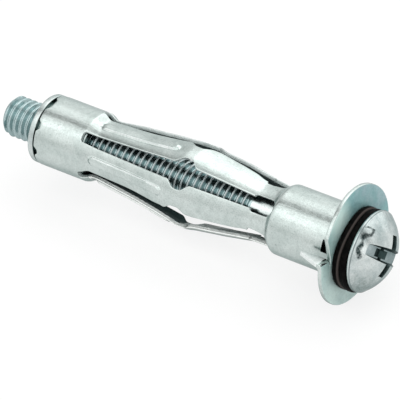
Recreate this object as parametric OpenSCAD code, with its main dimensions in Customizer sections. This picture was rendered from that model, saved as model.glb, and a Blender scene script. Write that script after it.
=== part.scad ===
// Hollow wall anchor: a folded sheet sleeve with five legs, a crimped-in nut,
// a pan head machine screw and two washers under its head.
// +X runs along the screw, out of the wall. The origin is on the screw's axis,
// in the plane of the flange's back face, which bears on the wall. +Z is up.

/* [Sleeve] */
// Thickness of the sheet the sleeve is folded from
sheet_t = 0.6; // [0.4:0.05:0.8]
// Outside diameter of the head collar and of the tail collar
collar_d = 10.2; // [9.8:0.1:12]
// Length of the head collar, from the flange's back to its shoulder
head_collar_len = 10.3; // [8:0.1:16]
// Length of the shoulder that steps from the head collar in to the legs
head_shoulder_len = 1.0; // [0.6:0.1:2]
// Length of the legs, between the two shoulders
legs_len = 29.3; // [26:0.1:40]
// Length of the shoulder that steps from the legs out to the tail collar
tail_shoulder_len = 1.3; // [0.8:0.1:2]
// Length of the tail collar
tail_collar_len = 7.6; // [6:0.1:12]
// How far the legs' roots lie inside the collar's surface
leg_step = 0.8; // [0.5:0.05:1]
// How far the legs bulge outwards where they fold
leg_bulge = 1.9; // [1.2:0.05:2.4]
// Length of the rounded crown at the fold
crown_len = 3.8; // [3.4:0.1:5]
// How much the crown rises from its edges to its middle
crown_rise = 0.1; // [0.05:0.05:0.3]
// Distance of the fold from the legs' head end
fold_at = 13.9; // [12:0.1:18]
// Radius inside the fold between the collar and the flange
flange_fold_r = 0.3; // [0.2:0.05:0.5]

/* [Flange] */
// Diameter of the flange
flange_d = 17.6; // [16:0.1:20]
// Number of anti-rotation prongs cut from the flange
prongs = 2; // [1:1:3]
// Length of a prong, from the flange's back to its tip
prong_len = 3.8; // [3:0.1:5]
// Width of a prong's blunt tip
prong_tip_w = 0.3; // [0.1:0.05:0.5]
// Radius at which a prong's fold line starts, from the screw's axis
prong_root_r = 6.35; // [6.2:0.05:6.8]
// Radius of a prong's tip, from the screw's axis
prong_tip_r = 6.9; // [6.7:0.05:7.4]
// Angle of the notch that a prong leaves in the flange's rim
notch_angle = 24; // [18:1:30]
// Radius inside a prong's fold
prong_fold_r = 0.4; // [0.2:0.05:0.5]
// Length of the relief cut in the collar beside a prong
relief_len = 1.4; // [0.8:0.1:2]
// Width of that relief cut
relief_w = 1.8; // [1:0.1:2.4]

/* [Slits] */
// Number of legs, and of slits between them
legs = 5; // [4:1:6]
// Width of a slit at the head end
slit_head_w = 1.7; // [1:0.05:2]
// Width of a slit beside the fold
slit_fold_w = 2.6; // [2:0.05:3]
// Width of a slit at the tail end
slit_tail_w = 1.45; // [1:0.05:2]
// Width of the rounded window at the head end of a slit
window_w = 2.5; // [2.2:0.05:3]
// Length of that window
window_len = 3.7; // [3.2:0.1:5]
// Gap between the head collar's end and the window
window_gap = 0.3; // [0.1:0.05:0.8]
// How far a slit's tail end stays short of the tail collar
slit_tail_gap = 0.2; // [0.1:0.05:0.8]
// Overall width of the fold notch across a slit
fold_notch_w = 4.6; // [3.6:0.1:5]
// Length of the fold notch along a slit
fold_notch_len = 3.0; // [2.4:0.1:4]
// Radius of the fold notch's corners
fold_notch_r = 1.05; // [0.8:0.05:1.1]

/* [Beads] */
// Width of the stiffening bead on the tail half of each leg
bead_w = 1.4; // [1:0.05:1.8]
// Height of that bead
bead_h = 0.2; // [0.1:0.02:0.3]
// Gap between the crown and the bead
bead_head_gap = 0.6; // [0.2:0.1:2]
// Gap between the bead and the tail shoulder
bead_tail_gap = 0.5; // [0.2:0.1:2]

/* [Nut] */
// Thickness of the nut's flange
nut_flange_t = 1.1; // [0.8:0.05:1.5]
// Diameter of the nut's flange
nut_flange_d = 10.1; // [9.8:0.1:12]
// Length of the chamfers at the nut's two ends
nut_chamfer = 0.25; // [0.1:0.05:0.5]
// Play between the nut's body and the tail collar
nut_play = 0.05; // [0.02:0.01:0.08]
// Number of nicks where the tail collar's edge is crimped on the nut
crimps = 8; // [4:1:10]
// Width of a nick at the collar's edge
crimp_w = 1.5; // [1:0.1:2]
// Width of a nick at its bottom
crimp_root_w = 0.5; // [0.2:0.1:0.8]
// Depth of a nick
crimp_depth = 0.55; // [0.3:0.05:0.8]

/* [Screw] */
// Outside diameter of the screw's thread
thread_d = 5.9; // [5.8:0.02:5.98]
// Pitch of the thread
thread_pitch = 1.0; // [0.8:0.05:1.25]
// Diameter of the plain shank under the head
shank_d = 5.4; // [5.3:0.05:5.6]
// Length of the plain shank, under the head
shank_len = 17.9; // [10:0.1:25]
// Length of the screw under its head
screw_len = 59.5; // [57:0.5:80]
// Diameter of the head
head_d = 11.8; // [11:0.1:12.4]
// Height of the head's upright rim
head_rim_h = 0.45; // [0.3:0.05:1]
// Height of the dome above that rim
head_dome_h = 3.1; // [2.5:0.1:3.4]
// Width of the driver slot
slot_w = 1.6; // [1.2:0.05:1.8]
// Depth of the driver slot below the dome's top
slot_depth = 1.75; // [1.4:0.05:2]
// Width of the cross recess's wings
cross_w = 1.3; // [1:0.05:1.5]
// Span of the cross recess across the head
cross_span = 6.6; // [5.6:0.1:7]
// Depth of the cross recess below the dome's top
cross_depth = 2.7; // [2.2:0.1:3]
// Angle of the driver slot, from +Z towards -Y
slot_angle = 43; // [0:1:180]
// Radial play between the thread and the nut's bore
thread_play = 0.05; // [0.02:0.01:0.09]

/* [Washers] */
// Outside diameter of the two washers
washer_d = 12.2; // [11.8:0.1:13]
// Thickness of one washer
washer_t = 1.1; // [0.8:0.05:1.5]
// Radius of the washers' rounded rims
washer_rim_r = 0.4; // [0.2:0.05:0.4]
// Play between a washer and the shank
washer_play = 0.05; // [0.03:0.01:0.2]

/* [Hidden] */
$fn = 96;

// Smallest overlap of solids that are joined, and overshoot of a cutting tool
eps = 0.01;
over = 1;
// Flat sides in a quarter of a rounded edge
edge_steps = 6;

// Radii
collar_r = collar_d / 2;
bore_r = collar_r - sheet_t;
root_r = collar_r - leg_step;
crown_r = root_r + leg_bulge;
crown_side_r = crown_r - crown_rise;
flange_r = flange_d / 2;
flange_outer_bend = flange_fold_r + sheet_t;
thread_r = thread_d / 2;
nut_bore_r = thread_r + thread_play;
washer_bore_r = shank_d / 2 + washer_play;

// Places along X, going from the flange's back face towards the tail
head_shoulder_x = -head_collar_len;
legs_head_x = head_shoulder_x - head_shoulder_len;
fold_x = legs_head_x - fold_at;
legs_tail_x = legs_head_x - legs_len;
tail_collar_x = legs_tail_x - tail_shoulder_len;
sleeve_end_x = tail_collar_x - tail_collar_len;

// Places along X, going from the flange's front face towards the head
washers_x = sheet_t;
head_x = washers_x + 2 * washer_t;
apex_x = head_x + head_rim_h + head_dome_h;
screw_tip_x = head_x - screw_len;

// Angles around X, from +Z towards -Y. A leg is centred on +Z
slit_pitch = 360 / legs;
first_slit = slit_pitch / 2;
prong_pitch = 360 / prongs;
first_prong = slit_pitch;

// Prongs
prong_outer_bend = prong_fold_r + sheet_t;

// Slits
slit_head_x = head_shoulder_x - window_gap;
slit_tail_x = tail_collar_x + slit_tail_gap;
slit_window_x = slit_head_x - window_len;

// Bead: a rod sunk in the leg, so that only bead_h of it stands out
bead_rod_r = (pow(bead_w / 2, 2) + pow(bead_h, 2)) / (2 * bead_h);
crown_tail_x = fold_x - crown_len / 2;
bead_head_x = crown_tail_x - bead_head_gap;
bead_tail_x = legs_tail_x + bead_tail_gap;

// Nut, and the nicks that hold it
nut_body_r = bore_r - nut_play;
nut_flange_r = nut_flange_d / 2;
nut_head_x = tail_collar_x;
nut_tail_x = sleeve_end_x - nut_flange_t;
crimp_pitch = 360 / crimps;

// Screw and washers
thread_head_x = head_x - shank_len;
// A metric thread is cut to 0.6134 of its pitch, which is also its tip's chamfer
thread_depth = 0.6134 * thread_pitch;
washer_r = washer_d / 2;

// Head: the sphere whose cap is the dome
dome_r = (pow(head_d / 2, 2) + pow(head_dome_h, 2)) / (2 * head_dome_h);

// Points of an arc in the plane, around [cx, cy]
function arc(cx, cy, r, from, to, steps = edge_steps) =
    [for (i = [0 : steps]) [cx + r * cos(from + (to - from) * i / steps),
                            cy + r * sin(from + (to - from) * i / steps)]];

// Turns a profile of [radius, x] points around X
module around_x() {
    rotate([0, 90, 0]) rotate_extrude() children();
}

// Lays a plan of [x, y] points on a plane above X, and raises it from z = low to z = high
module plan_cut(low, high) {
    translate([0, 0, low]) linear_extrude(high - low) children();
}

// Solid of the sleeve's outer surface: flange, collars, shoulders and bulging legs
module sleeve_skin() {
    around_x() polygon(concat(
        [[0, sheet_t], [flange_r, sheet_t], [flange_r, 0]],
        arc(collar_r + flange_fold_r, -flange_fold_r, flange_fold_r, 90, 180),
        [[collar_r, head_shoulder_x],
         [root_r, legs_head_x],
         [crown_side_r, fold_x + crown_len / 2],
         [crown_r, fold_x],
         [crown_side_r, fold_x - crown_len / 2],
         [root_r, legs_tail_x],
         [collar_r, tail_collar_x],
         [collar_r, sleeve_end_x],
         [0, sleeve_end_x]]
    ));
}

// Hollow of the sleeve: the same line, one sheet's thickness inside
module sleeve_hollow() {
    around_x() polygon(concat(
        [[0, sheet_t + over], [bore_r + flange_outer_bend, sheet_t + over]],
        arc(bore_r + flange_outer_bend, sheet_t - flange_outer_bend, flange_outer_bend, 90, 180),
        [[bore_r, head_shoulder_x],
         [root_r - sheet_t, legs_head_x],
         [crown_side_r - sheet_t, fold_x + crown_len / 2],
         [crown_r - sheet_t, fold_x],
         [crown_side_r - sheet_t, fold_x - crown_len / 2],
         [root_r - sheet_t, legs_tail_x],
         [bore_r, tail_collar_x],
         [bore_r, sleeve_end_x - over],
         [0, sleeve_end_x - over]]
    ));
}

// Outline of one slit, with its window and its fold notch, along X
module slit_outline() {
    notch_x = fold_notch_len / 2 - fold_notch_r;
    notch_y = fold_notch_w / 2 - fold_notch_r;
    polygon([
        [slit_window_x + window_w / 2, slit_head_w / 2],
        [fold_x, slit_fold_w / 2],
        [slit_tail_x, slit_tail_w / 2],
        [slit_tail_x, -slit_tail_w / 2],
        [fold_x, -slit_fold_w / 2],
        [slit_window_x + window_w / 2, -slit_head_w / 2]
    ]);
    for (x = [slit_head_x - window_w / 2, slit_window_x + window_w / 2])
        translate([x, 0]) circle(d = window_w);
    translate([slit_window_x + window_w / 2, -window_w / 2])
        square([window_len - window_w, window_w]);
    for (x = [-notch_x, notch_x], y = [-notch_y, notch_y])
        translate([fold_x + x, y]) circle(r = fold_notch_r);
    translate([fold_x - notch_x, -fold_notch_w / 2])
        square([2 * notch_x, fold_notch_w]);
    translate([fold_x - fold_notch_len / 2, -notch_y])
        square([fold_notch_len, 2 * notch_y]);
}

// Radius of a tail half's outer surface at a place along X
function tail_half_r(x) =
    root_r + (crown_side_r - root_r) * (x - legs_tail_x) / (crown_tail_x - legs_tail_x);

// One bead along the tail half of the leg on +Z: a sunken rod, trimmed to a rounded plan
module bead() {
    head_z = tail_half_r(bead_head_x) + bead_h - bead_rod_r;
    tail_z = tail_half_r(bead_tail_x) + bead_h - bead_rod_r;
    run = bead_head_x - bead_tail_x;
    intersection() {
        translate([bead_tail_x, 0, tail_z]) rotate([0, atan2(run, head_z - tail_z), 0])
            cylinder(r = bead_rod_r, h = norm([run, head_z - tail_z]));
        plan_cut(0, crown_r + over) bead_outline();
    }
}

// Rounded plan of a bead
module bead_outline() {
    for (x = [bead_tail_x + bead_w / 2, bead_head_x - bead_w / 2])
        translate([x, 0]) circle(d = bead_w);
    translate([bead_tail_x + bead_w / 2, -bead_w / 2])
        square([bead_head_x - bead_tail_x - bead_w, bead_w]);
}

// What is cut away beside the fold line on +Z: the prong's notch in the flange,
// and a relief in the collar that frees the fold
module prong_cut() {
    reach = flange_r + over;
    rotate([90, 0, 90]) translate([0, 0, -eps]) linear_extrude(sheet_t + 2 * eps) polygon([
        [-prong_outer_bend, prong_root_r],
        [0, prong_root_r],
        [flange_r * sin(notch_angle), flange_r * cos(notch_angle)],
        [reach * tan(notch_angle), reach],
        [-prong_outer_bend, reach]
    ]);
    translate([-relief_len, 0, 0]) cube([relief_len, relief_w, collar_r + flange_fold_r]);
}

// A prong: a quarter bend along the fold line on +Z, then a flat triangle towards the tail
module prong() {
    bend_y = -prong_outer_bend;
    height = flange_r - prong_root_r;
    intersection() {
        union() {
            translate([-prong_fold_r, bend_y, prong_root_r]) intersection() {
                difference() {
                    cylinder(r = prong_outer_bend, h = height);
                    translate([0, 0, -over]) cylinder(r = prong_fold_r, h = height + 2 * over);
                }
                cube([prong_outer_bend, prong_outer_bend, height]);
            }
            translate([0, -sheet_t, 0]) mirror([0, 1, 0]) rotate([90, 0, 0])
                linear_extrude(sheet_t) polygon([
                    [-prong_fold_r, prong_root_r],
                    [-prong_fold_r, flange_r],
                    [-prong_len, prong_tip_r + prong_tip_w / 2],
                    [-prong_len, prong_tip_r - prong_tip_w / 2]
                ]);
        }
        rotate([0, 90, 0]) cylinder(r = flange_r, h = 2 * prong_len, center = true);
    }
}

// Nick in the tail collar's edge, on +Z: its sides run on past the edge
module crimp_nick() {
    outer_y = crimp_w / 2 + over * (crimp_w - crimp_root_w) / 2 / crimp_depth;
    plan_cut(0, collar_r + over) polygon([
        [sleeve_end_x - over, -outer_y],
        [sleeve_end_x + crimp_depth, -crimp_root_w / 2],
        [sleeve_end_x + crimp_depth, crimp_root_w / 2],
        [sleeve_end_x - over, outer_y]
    ]);
}

module sleeve() {
    color("silver") {
        difference() {
            union() {
                sleeve_skin();
                for (i = [0 : legs - 1]) rotate([i * slit_pitch, 0, 0]) bead();
            }
            sleeve_hollow();
            for (i = [0 : legs - 1]) rotate([first_slit + i * slit_pitch, 0, 0])
                plan_cut(0, crown_r + over) slit_outline();
            for (i = [0 : prongs - 1]) rotate([first_prong + i * prong_pitch, 0, 0]) prong_cut();
            for (i = [0 : crimps - 1]) rotate([i * crimp_pitch, 0, 0]) crimp_nick();
        }
        for (i = [0 : prongs - 1]) rotate([first_prong + i * prong_pitch, 0, 0]) prong();
    }
}

module nut() {
    color("lightgray") difference() {
        around_x() polygon([
            [0, nut_head_x],
            [nut_body_r - nut_chamfer, nut_head_x],
            [nut_body_r, nut_head_x - nut_chamfer],
            [nut_body_r, sleeve_end_x],
            [nut_flange_r, sleeve_end_x],
            [nut_flange_r, nut_tail_x + nut_chamfer],
            [nut_flange_r - nut_chamfer, nut_tail_x],
            [0, nut_tail_x]
        ]);
        translate([nut_tail_x - over, 0, 0]) rotate([0, 90, 0])
            cylinder(r = nut_bore_r, h = nut_head_x - nut_tail_x + 2 * over);
    }
}

// A washer with a rounded rim, whose back face is at x
module washer(x) {
    color([0.05, 0.05, 0.05]) around_x() polygon(concat(
        [[washer_bore_r, x]],
        arc(washer_r - washer_rim_r, x + washer_rim_r, washer_rim_r, -90, 0),
        arc(washer_r - washer_rim_r, x + washer_t - washer_rim_r, washer_rim_r, 0, 90),
        [[washer_bore_r, x + washer_t]]
    ));
}

module back_washer() {
    washer(washers_x);
}

module front_washer() {
    washer(washers_x + washer_t);
}

// Head of the screw: a rim and a dome, with a driver slot across it and a cross recess
module screw_head() {
    difference() {
        intersection() {
            translate([apex_x - dome_r, 0, 0]) sphere(r = dome_r);
            translate([head_x, 0, 0]) rotate([0, 90, 0])
                cylinder(d = head_d, h = apex_x - head_x + over);
        }
        translate([apex_x - slot_depth, -slot_w / 2, -head_d])
            cube([slot_depth + over, slot_w, 2 * head_d]);
        translate([apex_x - cross_depth, -cross_w / 2, -cross_span / 2])
            cube([cross_depth + over, cross_w, cross_span]);
        translate([apex_x - cross_depth, -cross_span / 2, -cross_w / 2])
            cube([cross_depth + over, cross_span, cross_w]);
    }
}

module screw() {
    color("silver") {
        rotate([slot_angle, 0, 0]) screw_head();
        around_x() polygon([
            [0, head_x],
            [shank_d / 2, head_x],
            [shank_d / 2, thread_head_x],
            [thread_r, thread_head_x - (thread_r - shank_d / 2)],
            [thread_r, screw_tip_x + thread_depth],
            [thread_r - thread_depth, screw_tip_x],
            [0, screw_tip_x]
        ]);
    }
}

sleeve();
nut();
back_washer();
front_washer();
screw();
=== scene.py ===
"""Hollow wall anchor, dressed: the folded sleeve, its nut, the screw and two washers."""

import bpy
import bmesh
import math
import numpy as np
from mathutils import Matrix, Vector


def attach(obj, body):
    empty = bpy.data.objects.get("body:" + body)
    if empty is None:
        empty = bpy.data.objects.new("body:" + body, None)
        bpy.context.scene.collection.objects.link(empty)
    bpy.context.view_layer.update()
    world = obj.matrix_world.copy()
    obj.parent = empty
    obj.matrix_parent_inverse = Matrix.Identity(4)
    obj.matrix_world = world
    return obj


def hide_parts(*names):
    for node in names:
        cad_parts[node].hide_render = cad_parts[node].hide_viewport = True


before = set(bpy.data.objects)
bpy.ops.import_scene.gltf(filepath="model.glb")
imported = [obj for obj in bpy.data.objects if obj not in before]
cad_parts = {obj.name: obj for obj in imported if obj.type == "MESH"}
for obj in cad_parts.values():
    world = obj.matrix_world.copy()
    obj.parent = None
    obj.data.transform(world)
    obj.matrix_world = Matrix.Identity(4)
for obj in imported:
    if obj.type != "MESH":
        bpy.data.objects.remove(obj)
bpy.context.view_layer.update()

MM = 0.001

# ---------------------------------------------------------------- dimensions, in mm
SHEET = 0.6
COLLAR_R = 5.1
FOLD_R = 0.3
RIM_R = 8.62
LEGS = 5
PRONG_ANGLES = (72, 252)
PRONG_LEN = 3.8
PRONG_ROOT = 6.35
PRONG_TIP = 6.9
PRONG_TIP_HALF = 0.15
PRONG_FOLD = 0.4
NOTCH_ANGLE = 24
RELIEF_LEN = 1.85
RELIEF_ANGLE = 20
SLIT_HEAD = -10.6
SLIT_TAIL = -42.2
SLEEVE_END = -49.5
NUT_HEAD = -41.9
NUT_TAIL = -50.6
NUT_FLANGE_R = 5.05
THREAD_R = 2.95
THREAD_PITCH = 1.0
THREAD_DEPTH = 0.6134
THREAD_HEAD = -15.1
SHANK_R = 2.7
TIP_X = -56.7
HEAD_X = 2.8
HEAD_R = 5.9
HEAD_RIM = 0.45
DOME_H = 3.1
SLOT_ANGLE = 43
APEX = HEAD_X + HEAD_RIM + DOME_H
DOME_R = (HEAD_R ** 2 + DOME_H ** 2) / (2 * DOME_H)
WASHER_R = 6.1
WASHER_T = 1.1
# Edge radii of the sheet: along a slit, at the crimped end, round the flange and on a prong
LEG_EDGE = 0.13
TAIL_EDGE = 0.12
RIM_EDGE = 0.13
PRONG_EDGE = 0.1
# The window at a slit's head end, its corner, and the slit's round tail end
WINDOW_R = 1.25
WINDOW_TAIL = -14.35
WINDOW_CORNER = 0.42
SLIT_END_R = 0.25
SLIT_END_HALF = 0.725
# Half width of a slit, by its distance behind the flange, and of the notch where a leg folds
SLIT_WIDTHS = ([13.05, 25.0, 28.0, 33, 42.2], [0.83, 1.3, 1.28, 1.08, SLIT_END_HALF])
FOLD_HALF = 2.3
# Where that notch starts and ends along X
FOLD_HEAD = -23.3
FOLD_TAIL = -27.3
# The bead pressed in the tail half of a leg: its ends, height, flat half width and flank
BEAD_TAIL = -39.8
BEAD_HEAD = -28.35
BEAD_H = 0.33
BEAD_HALF = 0.46
BEAD_FLANK = 0.26
# The nicks that hold the nut, and the half angle of one at its edge and its floor, in degrees
NICKS = 8
NICK_DEPTH = 0.52
FIRST_NICK = (17.0, 7.0)
OTHER_NICK = (10.5, 2.5)
# Inside of the flange's bend: the angle where it meets the flange's back plane, and its drop there
BEND_ANGLE = 70.53
BEND_DROP = 0.8485
# Play round the thread and how far the nut's bore is countersunk
BORE_PLAY = 0.02
NUT_SINK = 0.4


# ---------------------------------------------------------------- mesh helpers
def turned(x, radius, angle):
    """A point of the frame at an angle in degrees round X, from +Z towards -Y."""
    a = math.radians(angle)
    return (x, -radius * math.sin(a), radius * math.cos(a))


def make_piece(name, verts, faces, weld=0.002, sharp=None):
    """Mesh object from points in mm, welded, with outward normals and smooth shading."""
    mesh = bpy.data.meshes.new(name)
    mesh.from_pydata([tuple(c * MM for c in v) for v in verts], [], faces)
    bm = bmesh.new()
    bm.from_mesh(mesh)
    bmesh.ops.remove_doubles(bm, verts=bm.verts, dist=weld * MM)
    bmesh.ops.dissolve_degenerate(bm, edges=bm.edges, dist=1e-7)
    bmesh.ops.recalc_face_normals(bm, faces=bm.faces)
    bm.to_mesh(mesh)
    bm.free()
    mesh.polygons.foreach_set("use_smooth", [True] * len(mesh.polygons))
    if sharp:
        mesh.set_sharp_from_angle(angle=math.radians(sharp))
    obj = bpy.data.objects.new(name, mesh)
    bpy.context.scene.collection.objects.link(obj)
    return obj


class Shell:
    """Collects points and faces of one piece."""

    def __init__(self):
        self.verts = []
        self.faces = []

    def add(self, rows, closed_rows=False, closed_cols=False, skip=None):
        """Grid of faces over rows of points."""
        base = len(self.verts)
        count = len(rows[0])
        for row in rows:
            self.verts.extend(row)
        last_row = len(rows) if closed_rows else len(rows) - 1
        last_col = count if closed_cols else count - 1
        for i in range(last_row):
            for j in range(last_col):
                if skip and skip(i, j):
                    continue
                a = base + i * count + j
                b = base + i * count + (j + 1) % count
                c = base + ((i + 1) % len(rows)) * count + (j + 1) % count
                d = base + ((i + 1) % len(rows)) * count + j
                self.faces.append((a, b, c, d))


def smooth(t):
    """A step from 0 to 1 with soft ends."""
    t = np.clip(t, 0.0, 1.0)
    return t * t * (3 - 2 * t)


# ---------------------------------------------------------------- sleeve
# Outer radius along X, at the middle of a leg
KEYS = [(1.0, 5.1), (-10.4, 5.1), (-11.35, 4.38), (-14.0, 4.44), (-18.4, 5.25), (-23.2, 5.98),
        (-24.5, 6.28), (-25.9, 6.3), (-28.3, 5.88), (-32.8, 5.2), (-39.6, 4.47), (-40.7, 4.42),
        (-41.8, 5.1), (-60.0, 5.1)]
# How far each leg stands off that line: no two legs bulge quite alike
BELLIES = {
    0: [(-11.5, 0.0), (-13.0, -0.28), (-27.0, -0.3), (-34.0, -0.22), (-40.0, 0.0)],
    1: [(-11.5, 0.0), (-13.0, -0.3), (-27.0, -0.32), (-34.0, -0.3), (-40.0, 0.0)],
    2: [(-11.5, 0.0), (-40.0, 0.0)],
    3: [(-11.5, 0.0), (-24.0, -0.1), (-40.0, 0.0)],
    4: [(-11.5, 0.0), (-14.5, 0.28), (-18.8, 0.18), (-23.0, -0.14), (-27.0, -0.22), (-30.3, 0.06),
        (-35.7, 0.2), (-40.0, 0.0)],
}


def smoothed(keys, sigma):
    """Table of a line through keys of (x, value), with its corners rounded."""
    xs = np.arange(-62.0, 2.0, 0.02)
    line = np.interp(xs, [k[0] for k in keys][::-1], [k[1] for k in keys][::-1])
    half = int(3 * sigma / 0.02)
    kernel = np.exp(-0.5 * (np.arange(-half, half + 1) * 0.02 / sigma) ** 2)
    return xs, np.convolve(np.pad(line, half, mode="edge"), kernel / kernel.sum(), mode="valid")


SKIN = smoothed(KEYS, 0.2)
BELLY = {k: smoothed(v, 0.6) for k, v in BELLIES.items()}


def leg_radius(x, leg=None):
    """Outer radius of the sleeve along X, or that of one of its legs."""
    r = float(np.interp(x, *SKIN))
    return r if leg is None else r + float(np.interp(x, *BELLY[leg]))


def bead_height(x, y):
    """Raised bead along the tail half of a leg."""
    along = min(max(x, BEAD_TAIL), BEAD_HEAD)
    reach = math.hypot(x - along, y)
    return BEAD_H * (1 - float(smooth((reach - BEAD_HALF) / BEAD_FLANK)))


# Angles of the points across a leg, closer over its bead, and those round the whole sleeve
SECTOR = ([-36 + 2 * i for i in range(13)] + [-11 + i for i in range(23)]
          + [12 + 2 * i for i in range(13)])
COLUMNS = [72 * k + a for k in range(LEGS) for a in SECTOR[:-1]]


def slit_edge():
    """Half width of a slit along X, from its head end to its tail end."""
    out = []
    head = SLIT_HEAD - WINDOW_R
    for i in range(13):
        t = math.radians(90 * i / 12)
        out.append((head + WINDOW_R * math.cos(t), WINDOW_R * math.sin(t)))
    out.append(((head + WINDOW_TAIL) / 2, WINDOW_R))
    for i in range(7):
        t = math.radians(15.0 * i)
        out.append((WINDOW_TAIL + WINDOW_CORNER * (1 - math.sin(t)),
                    WINDOW_R - WINDOW_CORNER * (1 - math.cos(t))))
    stations = (list(np.linspace(-14.6, -23.0, 18)) + list(np.linspace(-23.2, -27.6, 31))
                + list(np.linspace(-27.9, SLIT_TAIL + SLIT_END_R, 44)))
    for x in stations:
        w = float(np.interp(-x, *SLIT_WIDTHS))
        notch = float(smooth((FOLD_HEAD - x) / 1.5) * smooth((x - FOLD_TAIL) / 1.7))
        out.append((float(x), w + (FOLD_HALF - w) * notch))
    for i in range(1, 5):
        t = math.radians(90 * i / 4)
        out.append((SLIT_TAIL + SLIT_END_R - SLIT_END_R * math.sin(t), SLIT_END_HALF * math.cos(t)))
    return out


# How much each slit has closed up in use, in mm a side, by the leg before it
CLOSED = {4: (0.28, 0.0), 1: (0.12, 0.16)}
# How far one edge of a leg stands off its middle in the head half: the leg, the side, and mm
LEANS = {0: (-1, 0.1), 4: (1, -0.08)}


def half_width(x, w, slit):
    """A slit's half width after it has closed up a little."""
    head, tail = CLOSED.get(slit % LEGS, (0.0, 0.0))
    head *= float(smooth((-x - 15.0) / 1.5) * smooth((x + 23.6) / 1.2))
    tail *= float(smooth((-x - 27.6) / 1.5) * smooth((x + 41.4) / 2.0))
    return w - head - tail


def leg_loop(x, w, e, leg):
    """One cross-section of a leg: outer skin, rounded edges, inner skin."""
    outer = leg_radius(x, leg)
    inner = outer - SHEET
    low, high = half_width(x, w, leg - 1), half_width(x, w, leg)
    e = min(e, w * 0.7)

    def edge_angle(width, rho):
        return 36 - math.degrees(math.asin(width / rho))

    pts = []
    for a in SECTOR:
        ang = a / 36 * edge_angle((low if a < 0 else high) + e, outer)
        y = math.radians(ang) * outer
        pts.append((ang, outer + bead_height(x, y)))
    corner = []
    for i in range(1, 5):
        t = math.radians(90 - 90 * i / 4)
        corner.append((e * (1 - math.cos(t)), outer - e * (1 - math.sin(t))))
    for i in range(4):
        t = math.radians(90 * i / 4)
        corner.append((e * (1 - math.cos(t)), inner + e * (1 - math.sin(t))))
    pts.extend([(edge_angle(high + d, rho), rho) for d, rho in corner])
    for a in reversed(SECTOR):
        pts.append((a / 36 * edge_angle((low if a < 0 else high) + e, inner), inner))
    pts.extend([(-edge_angle(low + d, rho), rho) for d, rho in reversed(corner)])
    side, lean = LEANS.get(leg, (1, 0.0))
    lean *= float(smooth((-x - 13.5) / 2.5) * smooth((x + 24.5) / 2.0))
    return [(a, rho + lean * float(smooth(side * a / 27))) for a, rho in pts]


def nick(angle):
    """How far the tail collar's edge is pushed in at an angle."""
    depth = 0.0
    for k in range(NICKS):
        off = abs((angle - 45 * k + 180) % 360 - 180)
        half, flat = FIRST_NICK if k == 0 else OTHER_NICK
        depth = max(depth, NICK_DEPTH * float(smooth((half - off) / (half - flat))))
    return depth


def dished(v):
    """The flange isn't quite flat or round: one side of it stands out and leans back."""
    x, y, z = v
    r = math.hypot(y, z)
    if x < -0.02 or r < 5.5:
        return v
    angle = math.degrees(math.atan2(-y, z))
    lean = float(smooth(1 - abs((angle + 12 + 180) % 360 - 180) / 62)) * min((r - 5.5) / 3, 1.0)
    grow = 1 + 0.02 * lean
    return (x - 0.42 * lean, y * grow, z * grow)


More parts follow.
